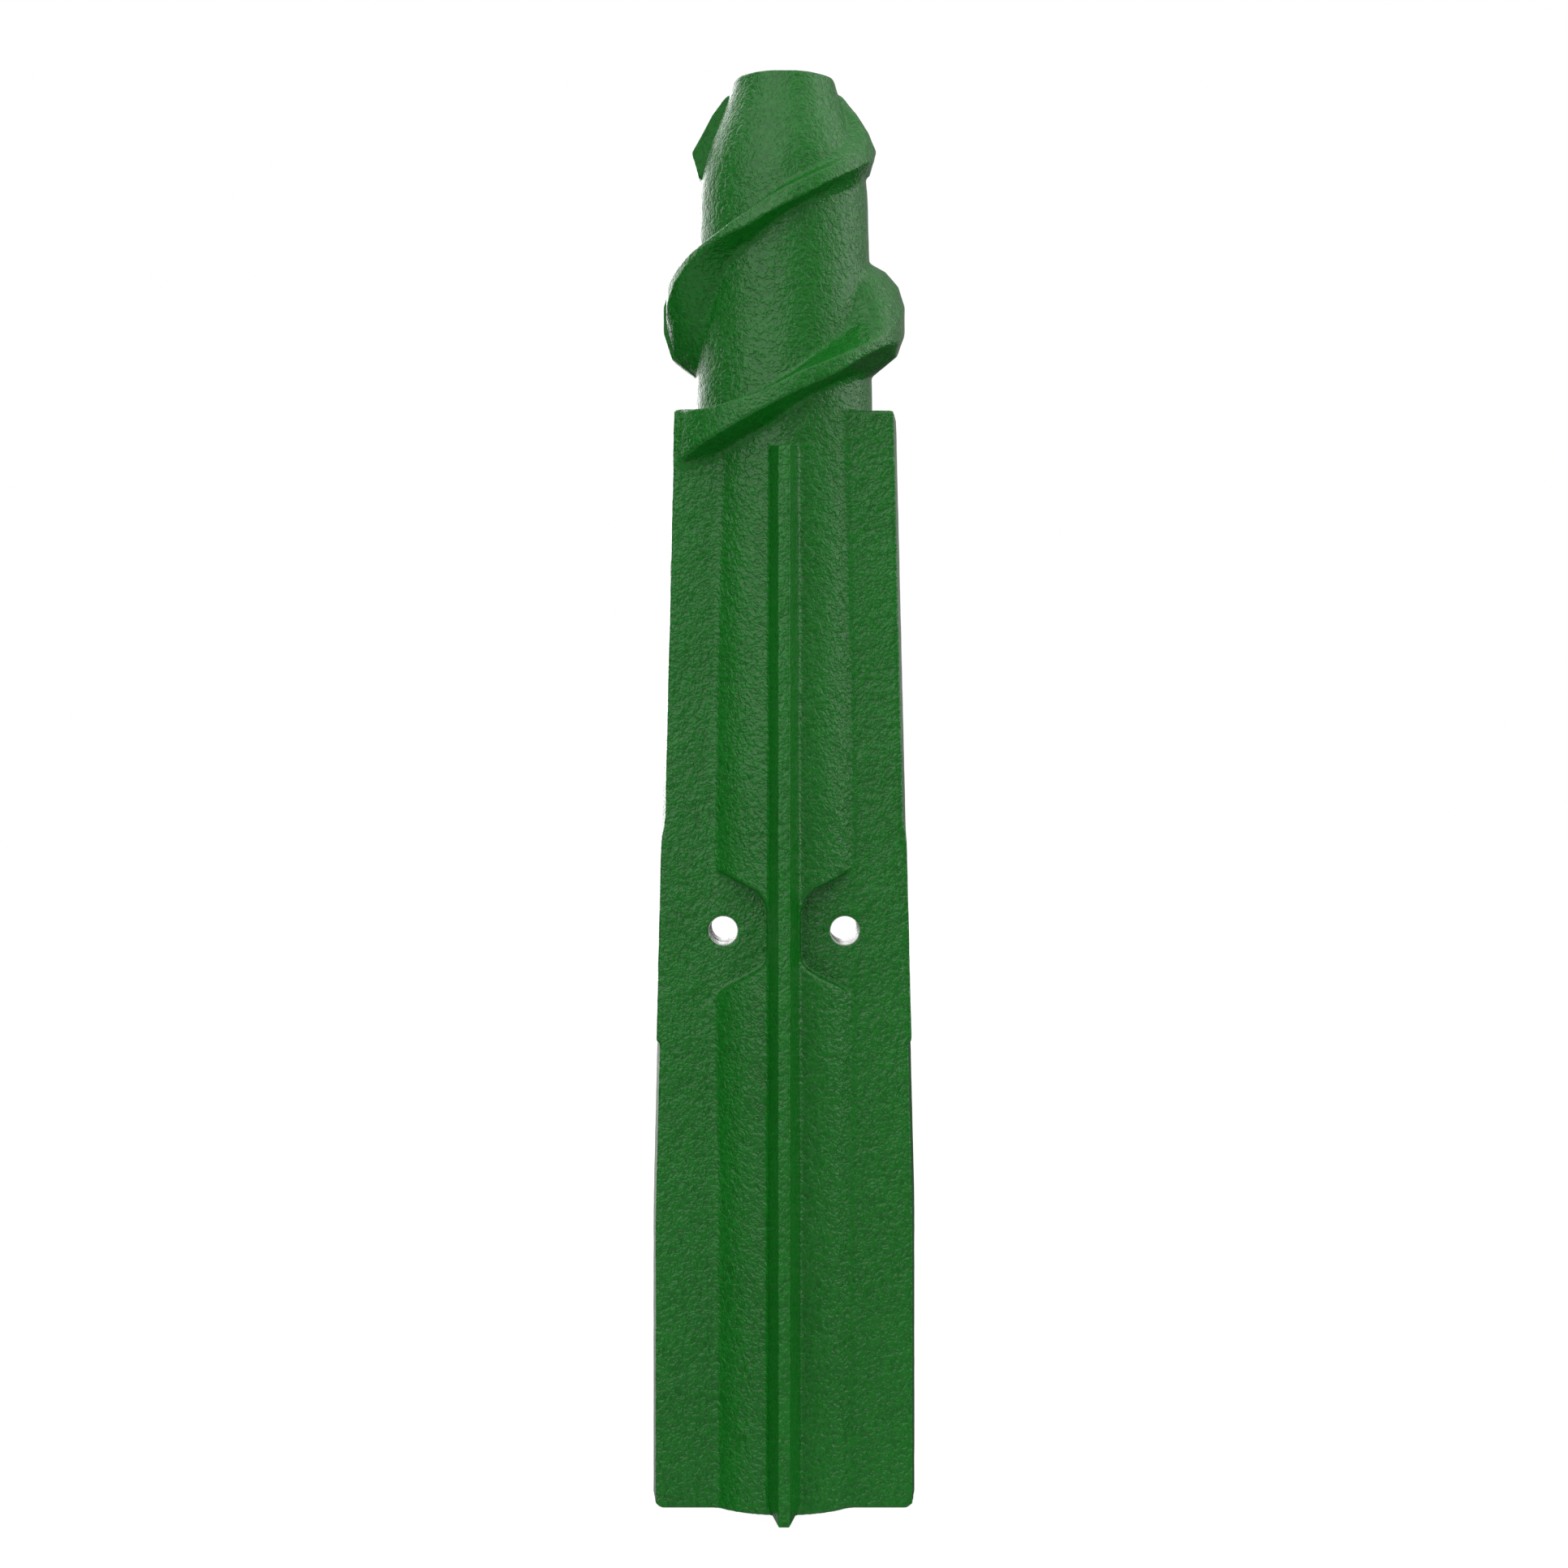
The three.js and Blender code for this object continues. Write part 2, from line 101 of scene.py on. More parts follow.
# The feed flight winds up round the body, from -66 to 270 degrees about the axis; 0 is -Y and
# 90 is +X. Columns: angle, then radius and z of: lower root, lower crest, upper crest,
# two points on the upper side, upper root.
FLIGHT_LOW = np.array([
    (-66.0, 34.45, 397.8, 46.36, 400.02, 46.36, 419.54, 42.39, 419.74, 38.42, 419.93, 34.45, 420.12),
    (-60.0, 34.45, 398.11, 47.62, 400.18, 47.62, 419.54, 43.23, 419.74, 38.84, 419.93, 34.45, 420.12),
    (-55.0, 34.45, 398.75, 47.62, 400.97, 47.62, 419.54, 43.23, 419.74, 38.84, 419.93, 34.45, 420.12),
    (-50.0, 34.45, 401.29, 47.47, 402.88, 47.47, 419.54, 43.13, 419.75, 38.79, 419.95, 34.45, 420.15),
    (-45.0, 34.45, 403.83, 47.37, 405.26, 47.37, 419.58, 43.06, 419.79, 38.76, 420.0, 34.45, 420.21),
    (-39.0, 34.45, 405.26, 47.31, 407.16, 47.31, 419.64, 43.02, 419.93, 38.73, 420.21, 34.45, 420.5),
    (-31.0, 34.45, 407.48, 47.15, 410.02, 47.15, 420.34, 42.92, 420.87, 38.68, 421.4, 34.45, 421.93),
    (-23.0, 34.45, 409.86, 47.15, 413.04, 47.15, 421.93, 42.92, 422.56, 38.68, 423.2, 34.45, 423.83),
    (-15.0, 34.45, 412.72, 47.15, 416.21, 47.15, 423.51, 42.93, 424.31, 38.72, 425.1, 34.5, 425.89),
    (-8.0, 34.45, 415.26, 47.15, 419.07, 47.15, 425.58, 42.92, 426.37, 38.69, 427.16, 34.46, 427.96),
    (0.0, 34.45, 418.43, 47.15, 422.4, 47.15, 428.91, 42.9, 429.65, 38.64, 430.39, 34.39, 431.13),
    (8.0, 34.45, 421.93, 47.15, 425.58, 47.15, 432.4, 42.87, 432.93, 38.6, 433.46, 34.33, 433.99),
    (16.0, 34.45, 425.1, 47.15, 428.43, 47.15, 434.94, 42.84, 436.0, 38.54, 437.06, 34.24, 438.12),
    (24.0, 34.46, 427.64, 47.15, 431.61, 47.15, 437.8, 42.82, 439.18, 38.49, 440.55, 34.15, 441.93),
    (32.0, 34.42, 429.86, 47.15, 435.26, 47.15, 440.66, 42.79, 442.35, 38.43, 444.04, 34.07, 445.74),
    (40.0, 34.37, 431.77, 47.15, 439.07, 47.15, 443.52, 42.76, 445.42, 38.38, 447.33, 34.0, 449.23),
    (47.0, 34.34, 433.36, 47.15, 441.61, 47.15, 446.06, 42.73, 448.7, 38.31, 451.35, 33.89, 453.99),
    (52.0, 34.31, 434.63, 47.15, 443.2, 47.15, 448.28, 42.91, 452.52, 38.44, 456.55, 33.76, 460.34),
    (56.0, 34.31, 434.63, 47.15, 444.47, 47.15, 449.87, 43.05, 455.88, 38.54, 461.49, 33.62, 466.69),
    (60.0, 34.31, 434.94, 47.15, 445.42, 47.15, 451.77, 43.2, 458.93, 38.65, 465.49, 33.51, 471.46),
    (70.0, 34.29, 435.9, 47.15, 447.33, 47.15, 456.53, 43.62, 464.37, 39.04, 471.14, 33.4, 476.85),
    (80.0, 34.27, 436.59, 47.15, 449.87, 47.15, 460.98, 44.07, 468.86, 39.46, 475.21, 33.33, 480.03),
    (90.0, 34.25, 437.39, 47.15, 453.04, 47.15, 465.42, 44.53, 472.6, 39.91, 477.79, 33.31, 480.98),
])
FLIGHT_UP = np.array([
    (90.0, 34.25, 437.39, 45.4, 452.09, 45.4, 464.79, 43.11, 471.93, 39.08, 477.32, 33.31, 480.98),
    (95.0, 34.23, 438.28, 45.88, 455.26, 45.88, 467.01, 43.21, 473.24, 39.01, 477.95, 33.3, 481.14),
    (100.0, 34.21, 439.39, 46.36, 458.44, 46.36, 468.92, 43.28, 474.32, 38.93, 478.44, 33.3, 481.3),
    (105.0, 34.15, 441.93, 47.15, 461.61, 46.62, 470.5, 43.17, 475.09, 38.73, 478.69, 33.3, 481.3),
    (110.0, 34.07, 445.74, 47.15, 464.79, 46.22, 472.41, 42.57, 475.93, 38.27, 478.78, 33.31, 480.98),
    (116.0, 33.95, 451.45, 46.95, 468.92, 45.49, 475.9, 41.71, 477.88, 37.65, 479.57, 33.31, 480.98),
    (121.0, 33.83, 456.85, 46.32, 471.93, 45.09, 477.81, 41.16, 478.86, 37.24, 479.92, 33.31, 480.98),
    (127.0, 33.67, 464.15, 45.62, 475.27, 44.56, 480.35, 40.8, 481.09, 37.04, 481.83, 33.27, 482.57),
    (132.7, 33.55, 469.87, 44.96, 478.44, 44.16, 482.25, 40.52, 482.99, 36.87, 483.73, 33.23, 484.47),
    (137.3, 33.46, 474.0, 44.49, 480.66, 43.83, 483.84, 40.28, 484.58, 36.74, 485.32, 33.19, 486.06),
    (142.4, 33.38, 477.81, 44.03, 482.89, 43.43, 485.74, 40.0, 486.48, 36.57, 487.22, 33.15, 487.97),
    (150.0, 33.32, 480.66, 43.56, 485.11, 42.7, 489.24, 39.49, 489.98, 36.27, 490.72, 33.06, 491.46),
    (159.6, 33.23, 484.47, 43.06, 487.52, 41.83, 493.36, 38.88, 494.1, 35.92, 494.84, 32.96, 495.59),
    (170.0, 33.11, 489.55, 42.16, 491.78, 40.84, 498.13, 38.17, 498.87, 35.51, 499.61, 32.85, 500.35),
    (180.5, 32.99, 494.47, 41.3, 495.9, 39.91, 502.57, 37.52, 503.21, 35.14, 503.84, 32.75, 504.48),
    (190.0, 32.92, 497.49, 40.57, 499.4, 39.24, 505.75, 37.05, 506.49, 34.86, 507.23, 32.67, 507.97),
    (203.0, 32.83, 501.3, 39.47, 504.63, 38.31, 510.19, 36.28, 510.93, 34.24, 511.67, 32.21, 512.41),
    (214.0, 32.77, 503.84, 38.71, 508.29, 37.65, 513.37, 35.67, 514.21, 33.7, 515.06, 31.73, 515.91),
    (228.0, 32.69, 507.02, 37.78, 512.73, 36.72, 517.81, 34.65, 518.97, 32.59, 520.14, 30.53, 521.3),
    (240.0, 32.44, 510.19, 37.11, 515.91, 35.98, 521.3, 34.29, 523.84, 31.75, 525.75, 28.73, 527.02),
    (250.0, 32.21, 512.41, 36.65, 518.13, 35.48, 523.53, 34.29, 527.65, 31.75, 531.46, 26.12, 534.0),
    (257.0, 32.11, 513.37, 36.04, 518.76, 36.04, 524.48, 33.5, 530.83, 29.37, 537.18, 23.5, 540.35),
    (270.0, 31.94, 514.95, 34.92, 520.03, 36.04, 525.43, 32.23, 531.15, 27.62, 540.04, 22.23, 547.02),
])

# ---------------------------------------------------------------------------
# Sampling grid and mesh, mm
# ---------------------------------------------------------------------------
FINE = 0.75           # step where the shape changes
COARSE = 1.6                            # step where it is straight along the axis
RIB_STEP = 0.36      # step across the thin rib
GRID_REACH = 52.6
END_MARGIN = 2.4
# z, step along z
LEVEL_STEPS = [(-END_MARGIN, 0.8), (3, 0.8), (3.001, COARSE), (170, COARSE), (170.001, FINE),
               (272, FINE), (272.001, COARSE), (384, COARSE), (384.001, FINE), (554, FINE)]
SLAB_LEVELS = 96                        # levels worked out at a time, to save memory
TARGET_TRIANGLES = 195_000


def smooth_curve(table, step, sigma, start, stop):
    """A table resampled every step and softened over sigma."""
    table = np.array(table, float)
    at = np.arange(start, stop + step, step)
    pad = int(4 * sigma / step)
    before = at[0] - step * np.arange(pad, 0, -1)
    after = at[-1] + step * np.arange(1, pad + 1)
    values = np.interp(np.concatenate([before, at, after]), table[:, 0], table[:, 1])
    kernel = np.exp(-0.5 * (np.arange(-pad, pad + 1) * step / sigma) ** 2)
    return at, np.convolve(values, kernel / kernel.sum(), "valid")


def soft_min(a, b, width):
    """Union of two distance fields, filleted over width."""
    near = np.maximum(width - np.abs(a - b), 0) / width
    return np.minimum(a, b) - near * near * (width * 0.25)


def soft_max(a, b, width):
    """Intersection of two distance fields, rounded over width."""
    return -soft_min(-a, -b, width)


def polygon_distance(x, z, corners):
    """Signed distance to a closed polygon whose corners may vary by point."""
    nearest = None
    inside = None
    for i in range(len(corners)):
        x0, z0 = corners[i]
        x1, z1 = corners[(i + 1) % len(corners)]
        edge_x, edge_z = x1 - x0, z1 - z0
        from_x, from_z = x - x0, z - z0
        along = (from_x * edge_x + from_z * edge_z) / (edge_x * edge_x + edge_z * edge_z + 1e-9)
        along = np.clip(along, 0, 1)
        squared = (from_x - edge_x * along) ** 2 + (from_z - edge_z * along) ** 2
        nearest = squared if nearest is None else np.minimum(nearest, squared)
        rising = (z0 <= z) & (z1 > z)
        falling = (z0 > z) & (z1 <= z)
        side = edge_x * from_z - edge_z * from_x
        hit = (rising & (side > 0)) | (falling & (side < 0))
        inside = hit if inside is None else inside ^ hit
    return np.where(inside, -1.0, 1.0) * np.sqrt(nearest)


def on_axis(values):
    """Values along z, shaped to spread over the grid."""
    return values.astype(np.float32)[None, None, :]


def stations(z, table):
    return on_axis(np.interp(z, *zip(*table)))


def round_body(radius, z):
    at, profile = smooth_curve(BODY_PROFILE, 0.5, 2.4, 0, LENGTH + 6)
    slope = np.gradient(profile, at)
    lean = on_axis(1 / np.sqrt(1 + np.interp(z, at, slope) ** 2))
    return (radius - on_axis(np.interp(z, at, profile))) * lean


def bolt_seats(x, z, depth):
    """The two cuts for the bolt seats; the edge is a Catmull-Rom curve through its points."""
    points = np.array(SEAT_EDGE)
    last = len(points) - 1
    place = np.linspace(0, last, 80)
    i = np.clip(place.astype(int), 0, last - 1)
    t = (place - i)[:, None]
    p0, p1 = points[np.maximum(i - 1, 0)], points[i]
    p2, p3 = points[i + 1], points[np.minimum(i + 2, last)]
    curve = 0.5 * (2 * p1 + (p2 - p0) * t + (2 * p0 - 5 * p1 + 4 * p2 - p3) * t ** 2
                   + (3 * p1 - p0 - 3 * p2 + p3) * t ** 3)
    across, height = np.meshgrid(np.abs(x), z, indexing="ij")
    outline = polygon_distance(across, height, np.vstack([curve, SEAT_OUTER])).astype(np.float32)
    return soft_max(outline[:, None, :], SEAT_DEPTH - depth, 1.0)


def shoulder_side(across, depth, z, width, thickness):
    """The drafted side faces; the draft is less beside the bolt seats, the foot chamfered."""
    ramp = np.clip((266 - z) / 12, 0, 1) * np.clip((z - 177.6) / 1.6, 0, 1)
    draft = on_axis(2.0 - 1.35 * ramp * ramp * (3 - 2 * ramp))
    foot_chamfer = on_axis(np.clip(1.6 - z, 0, 1.6)) * 1.2
    return across + np.abs(depth) * (draft / thickness) - width + foot_chamfer


def middle_rib(across, depth, z, height):
    crest = stations(z, RIB_CREST)
    foot = stations(z, RIB_FOOT)
    half = (RIB_CREST_HALF + (foot - RIB_CREST_HALF) * (crest - np.maximum(depth, RIB_FOOT_DEPTH))
            / (crest - RIB_FOOT_DEPTH))
    rib = soft_max((across - half) * RIB_FLANK_SCALE, depth - crest, 0.5)
    rib = soft_max(rib, height - RIB_TOP, 1.0)
    return np.maximum(rib, RIB_START_DEPTH - depth)


def strand(table, angle, radius, z):
    """Distance field of one run of the flight, its section drawn in radius and z."""
    out = np.full(angle.shape + (len(z),), 50.0, np.float32)
    first, last = table[0, 0], table[-1, 0]
    near = (angle >= first - 0.6) & (angle <= last + 0.6)
    if not near.any():
        return out
    turn = np.clip(angle[near], first, last)
    columns = []
    for column in range(1, 13):
        at, values = smooth_curve(table[:, [0, column]], 1.0, 1.8, first, last)
        columns.append(np.interp(turn, at, values)[:, None].astype(np.float32))
    (root_r, root_z, crest_r, crest_z, top_r, top_z,
     side1_r, side1_z, side2_r, side2_z, end_r, end_z) = columns
    # edge rounding grows near the parting plane and at the upper end
    edge = (0.7 + 1.0 * np.exp(-((turn - 88) / 14) ** 2)
            + 1.0 * np.clip((turn - 255) / 8, 0, 1))[:, None].astype(np.float32)
    # the lower flank swells out near the parting plane
    full = np.exp(-((turn - 88) / 16) ** 2)[:, None].astype(np.float32)
    section = [
        (root_r - 5.0, root_z + 0.2),
        (root_r, root_z + 0.7 * edge),
        (root_r + 0.76 * (crest_r - edge - root_r),
         root_z + 0.76 * (crest_z - root_z) + 0.78 * edge - 4.5 * full),
        (crest_r - edge, crest_z + 0.8 * edge),
        (top_r - edge, top_z - 0.7 * edge),
        (side1_r - 0.75 * edge, side1_z - 0.7 * edge),
        (side2_r - 0.75 * edge, side2_z - 0.7 * edge),
        (end_r - 0.3 * edge, end_z - 0.9 * edge),
        (end_r - 5.0, end_z - 0.3),
    ]
    out[near] = polygon_distance(radius[near], z[None, :], section) - edge
    return out


def feed_flight(X, angle, radius, height, side):
    """Both runs; by symmetry the upper one is brought back half a turn onto this half."""
    low = strand(FLIGHT_LOW, angle, radius, height[0, 0])
    low = np.where((X < 0)[:, :, None], soft_max(low, side, 1.0), low)
    up = strand(FLIGHT_UP, angle + 180, radius, height[0, 0])
    return soft_min(low, up, 1.5)


def hollow(across, depth, radius, z, height, width, thickness):
    """The cored inside: upper end, chambers and the hexagonal bore."""
    core = radius - stations(z, NOSE_CORE)
    core = soft_max(core, NOSE_CORE[0][0] - height, 3.0)
    core = soft_max(core, height - (NOSE_CORE[-1][0] + 0.5), 6.0)
    for bottom, top in CHAMBERS:
        pocket = soft_max(across - (width - WALL - 0.8) + 0.06 * depth,
                          np.abs(depth) - (thickness - WALL), 4.0)
        room = soft_min(pocket, radius - CHAMBER_RADIUS, 4.0)
        room = soft_max(soft_max(room, bottom - height, 4.0), height - top, 4.0)
        core = np.minimum(core, room)
    slanted = np.maximum(np.abs(across * SIN_60 + depth * 0.5),
                         np.abs(across * SIN_60 - depth * 0.5))
    hexagon = np.maximum(np.abs(depth), slanted) - HEX_APOTHEM
    return soft_min(core, soft_max(hexagon, height - HEX_TOP, 0.6), 1.2)


def casting_field(x, y, z):
    """Distance field of the half casting on a grid with the given 1-D positions."""
    X, Y = np.meshgrid(x, y, indexing="ij")
    X, Y = X.astype(np.float32), Y.astype(np.float32)
    angle = np.degrees(np.arctan2(X, -Y))
    across = np.abs(X)[:, :, None]
    depth = (-Y)[:, :, None]
    radius = np.sqrt(X * X + Y * Y)[:, :, None]
    height = on_axis(z)
    width = stations(z, SHOULDER_WIDTH)
    thickness = stations(z, SHOULDER_THICKNESS)

    body = round_body(radius, z)
    if z[-1] > 180 and z[0] < 260:
        body = soft_max(body, -bolt_seats(x, z, depth), 0.9)
    side = shoulder_side(across, depth, z, width, thickness)
    shoulders = soft_max(side, np.abs(depth) - thickness, 1.0)
    shoulders = soft_max(shoulders, height - SHOULDER_TOP, 0.9)
    solid = soft_min(body, shoulders, 1.6)
    rib_fillet = on_axis(1.5 - 0.4 * np.clip((z - 398) / 8, 0, 1))
    solid = soft_min(solid, middle_rib(across, depth, z, height), rib_fillet)
    if z[-1] > 385:
        flight = feed_flight(X, angle, radius, height, side)
        fillet = (2.6 - 1.5 * np.exp(-((np.abs(angle) - 84) / 20) ** 2)).astype(np.float32)
        solid = soft_min(solid, flight, fillet[:, :, None])
    # flat ends
    solid = soft_max(solid, height - LENGTH, 0.9)
    solid = soft_max(solid, -height, 0.3)
    core = hollow(across, depth, radius, z, height, width, thickness)
    solid = soft_max(solid, -core, 1.2)
    bolt_bore = BOLT_R - np.sqrt((across - BOLT_X) ** 2 + (height - BOLT_Z) ** 2)
    solid = soft_max(solid, bolt_bore, 0.3)
    # parting plane
    return soft_max(solid, PARTING_GAP - depth, 0.5).astype(np.float32)


def surface_nets(x, y, z, distance):
    """Quads on the zero surface of a field over a grid, one point per crossed cell."""
    grid = (x, y, z)
    inside = distance < 0
    cells = tuple(size - 1 for size in distance.shape)
    count = np.zeros(math.prod(cells), np.float32)
    sums = [np.zeros(count.size, np.float32) for _ in range(3)]
    faces = []
    for axis in range(3):
        low = [slice(None)] * 3
        high = [slice(None)] * 3
        low[axis], high[axis] = slice(0, -1), slice(1, None)
        low, high = tuple(low), tuple(high)
        index = np.nonzero(inside[low] != inside[high])
        start, end = distance[low][index], distance[high][index]
        fraction = start / (start - end)
        crossing = []
        for k in range(3):
            place = grid[k][index[k]]
            if k == axis:
                place = place + fraction * (grid[k][index[k] + 1] - grid[k][index[k]])
            crossing.append(place)
        others = [k for k in range(3) if k != axis]
        keep = np.ones(len(fraction), bool)
        for k in others:
            keep &= (index[k] > 0) & (index[k] < cells[k])
        index = tuple(i[keep] for i in index)
        crossing = [place[keep] for place in crossing]
        # the four cells round each crossed edge
        corners = []
        for shift in ((-1, -1), (0, -1), (0, 0), (-1, 0)):
            cell = list(index)
            for k, offset in zip(others, shift):
                cell[k] = index[k] + offset
            flat = np.ravel_multi_index(tuple(cell), cells)
            np.add.at(count, flat, 1)
            for k in range(3):
                np.add.at(sums[k], flat, crossing[k])
            corners.append(flat)
        quad = np.stack(corners, 1)
        start = start[keep]
        flip = (start > 0) if axis != 1 else (start < 0)
        quad[flip] = quad[flip][:, ::-1]
        faces.append(quad)
    used = np.flatnonzero(count)
    remap = np.full(count.size, -1, np.int64)
    remap[used] = np.arange(len(used))
    points = np.stack([total[used] / count[used] for total in sums], 1)
    return points, remap[np.concatenate(faces)]


def value_noise(points, size, seed):
    """Smooth lattice noise in -1..1 with cells of the given size."""
    table = np.random.RandomState(seed).uniform(-1, 1, (64, 64, 64)).astype(np.float32)
    scaled = points / size
    low = np.floor(scaled).astype(int)
    fade = scaled - low
    fade = fade * fade * fade * (fade * (fade * 6 - 15) + 10)
    low &= 63
    high = (low + 1) & 63
    total = 0
    for corner in np.ndindex(2, 2, 2):
        term = table[tuple((high if far else low)[:, k] for k, far in enumerate(corner))]
        for k, far in enumerate(corner):
            term = term * (fade[:, k] if far else 1 - fade[:, k])
        total = total + term
    return total


def levels():
    """Grid heights: fine where the shape changes along the axis, coarser where straight."""
    z = [-END_MARGIN]
    while z[-1] < LENGTH + END_MARGIN:
        z.append(z[-1] + np.interp(z[-1], *zip(*LEVEL_STEPS)))
    return np.array(z, np.float32)


def casting_surface():
    x = np.concatenate([np.arange(-GRID_REACH, -7.5, FINE), np.arange(-7.2, 7.21, RIB_STEP),
                        np.arange(7.9, GRID_REACH + 0.1, FINE)]).astype(np.float32)
    y = np.concatenate([np.arange(-GRID_REACH, -42.6, RIB_STEP * 1.2),
                        np.arange(-42.2, 1.6, FINE)]).astype(np.float32)
    z = levels()
    slabs = [casting_field(x, y, z[k:k + SLAB_LEVELS]) for k in range(0, len(z), SLAB_LEVELS)]
    distance = np.concatenate(slabs, axis=2)
    return surface_nets(x.astype(float), y.astype(float), z.astype(float), distance)


def place_points(mesh, points):
    mesh.vertices.foreach_set("co", (points / MM).astype(np.float32).ravel())


def make_mesh(name, points, quads):
    mesh = bpy.data.meshes.new(name)
    mesh.vertices.add(len(points))
    place_points(mesh, points)
    mesh.loops.add(len(quads) * 4)
    mesh.loops.foreach_set("vertex_index", quads.astype(np.int32).ravel())
    mesh.polygons.add(len(quads))
    mesh.polygons.foreach_set("loop_start", np.arange(0, len(quads) * 4, 4, dtype=np.int32))
    mesh.update(calc_edges=True)
    mesh.validate()
    mesh.polygons.foreach_set("use_smooth", np.ones(len(mesh.polygons), bool))
    mesh.update()
    return mesh


def roughen(mesh, points):
    """Sand-cast skin: low swells and finer lumps along the normals, none at y = 0 or z = 0."""
    normals = np.zeros(len(points) * 3, np.float32)
    mesh.vertices.foreach_get("normal", normals)
    normals = normals.reshape(-1, 3)
    rough = 0.085 * value_noise(points, 7.5, 3) + 0.06 * value_noise(points + 31.7, 3.1, 5)
    fade = np.clip((-points[:, 1] - 0.6) / 1.5, 0, 1) * np.clip(points[:, 2] / 1.5, 0, 1)
    skin = points + normals * (rough * fade)[:, None]
    low, high = np.array(CAD_BOX[0]) * 1000, np.array(CAD_BOX[1]) * 1000
    place_points(mesh, np.clip(skin, low + 0.01, high - 0.01))
    mesh.update()


def add_object(name, data):
    obj = bpy.data.objects.new(name, data)
    bpy.context.scene.collection.objects.link(obj)
    return obj


def apply_modifiers(obj):
    depsgraph = bpy.context.evaluated_depsgraph_get()
    baked = bpy.data.meshes.new_from_object(obj.evaluated_get(depsgraph))
    obj.modifiers.clear()
    obj.data = baked


def casting_halves():
    points, quads = casting_surface()
    mesh = make_mesh("casting", points, quads)
    roughen(mesh, points)
    front = add_object("casting_front", mesh)
    thin = front.modifiers.new("thin", "DECIMATE")
    thin.ratio = min(1.0, TARGET_TRIANGLES / (2.0 * len(quads)))
    apply_modifiers(front)
    weighted = front.modifiers.new("wn", "WEIGHTED_NORMAL")
    weighted.weight = 60
    weighted.keep_sharp = False
    apply_modifiers(front)
    rear_mesh = front.data.copy()
    rear_mesh.transform(Matrix.Rotation(math.pi, 4, "Z"))
    return front, add_object("casting_rear", rear_mesh)


class Shader:
    """An emptied node tree with short ways to add nodes."""

    def __init__(self, owner):
        owner.use_nodes = True
        self.tree = owner.node_tree
        self.tree.nodes.clear()

    def feed(self, node, inputs):
        """Give each input a value, or link it from a socket."""
        for key, value in inputs.items():
            if isinstance(value, bpy.types.NodeSocket):
                self.tree.links.new(value, node.inputs[key])
            else:
                node.inputs[key].default_value = value

    def node(self, kind, inputs={}, **settings):
        node = self.tree.nodes.new("ShaderNode" + kind)
        for key, value in settings.items():
            setattr(node, key, value)
        self.feed(node, inputs)
        return node

    def calc(self, operation, a, b=0.0, clamp=False):
        node = self.node("Math", {0: a, 1: b}, operation=operation, use_clamp=clamp)
        return node.outputs[0]

    def linear(self, value, gain, offset):
        return self.calc("ADD", self.calc("MULTIPLY", value, gain), offset)

    def rise(self, value, start, gain):
        """0 below start, then climbing by gain to 1."""
        return self.calc("MULTIPLY", self.calc("SUBTRACT", value, start), gain, clamp=True)

    def length(self, a, b):
        squares = self.calc("ADD", self.calc("MULTIPLY", a, a), self.calc("MULTIPLY", b, b))
        return self.calc("SQRT", squares)

    def noise(self, coords, scale, detail, roughness=0.5, distortion=0.0):
        return self.node("TexNoise", {
            "Scale": scale, "Detail": detail, "Roughness": roughness,
            "Distortion": distortion, "Vector": coords}).outputs[0]


# ---------------------------------------------------------------------------
# Paint: green enamel over a pebbled sand-cast skin
# ---------------------------------------------------------------------------
BASE = (0.0062, 0.180, 0.0124)      # enamel colour
# bolt bores: bare metal, lightened to near white as a painted reflection of the white backdrop
BORE_METAL_AND_REFLECTION = (0.8, 0.81, 0.78, 1)
PEBBLE = 560.0                      # texture scale of the pebble, per metre
PEBBLE_WEIGHT, FINE_WEIGHT, SWELL_WEIGHT, CELL_WEIGHT, CREASE_WEIGHT = 1.0, 0.06, 0.5, 0.35, 0.10
BUMP = 0.00051                      # relief height, metres
ROUGHNESS = 0.13
SPECULAR_FLOOR = 0.08               # specular level everywhere
SPECULAR_GAIN = 0.395               # added on skin that faces outward
UNDER_LOSS = 0.06                   # taken off that gain on skin that faces down


def enamel(red_blue, green):
    return (BASE[0] * red_blue, BASE[1] * green, BASE[2] * red_blue, 1)


def paint_colour(shader, coords):
    """Slow tint changes, deeper colour between the pebbles as painted shade, and in the bolt bores
    bare metal lightened to near white as a painted reflection of the backdrop.
    """
    tint = shader.noise(coords, scale=16, detail=3, roughness=0.6)
    ramp = shader.node("ValToRGB", {0: tint})
    low, high = ramp.color_ramp.elements
    low.position, low.color = 0.3, enamel(red_blue=0.88, green=0.93)
    high.position, high.color = 0.7, enamel(red_blue=1.12, green=1.06)
    pebble = shader.noise(coords, scale=PEBBLE, detail=1.0, distortion=0.9)
    # painted shade on the relief: colour darkened between the pebbles (low relief) and lightened a
    # little on their tops
    pebble_shade = shader.node("MapRange", {"From Min": 0.3, "From Max": 0.62, "To Min": 0.78,
                                    "To Max": 1.1, "Value": pebble})
    paint = shader.node("VectorMath", {0: ramp.outputs[0], "Scale": pebble_shade.outputs[0]},
                        operation="SCALE")
    place = shader.node("SeparateXYZ", {0: coords})
    across = shader.calc("SUBTRACT", shader.calc("ABSOLUTE", place.outputs[0]), BOLT_X / 1000)
    up = shader.calc("SUBTRACT", place.outputs[2], BOLT_Z / 1000)
    inset = shader.calc("SUBTRACT", (BOLT_R + 0.35) / 1000, shader.length(across, up))
    sharpness = 5000
    bore = shader.calc("MULTIPLY", inset, sharpness, clamp=True)
    # the bolt bores take the pale colour: bare metal plus a painted reflection of the backdrop
    pale_bore_mix = shader.node("Mix", {"Factor": bore, "A": paint.outputs[0], "B": BORE_METAL_AND_REFLECTION},
                       data_type="RGBA")
    return pale_bore_mix.outputs["Result"], pebble, bore


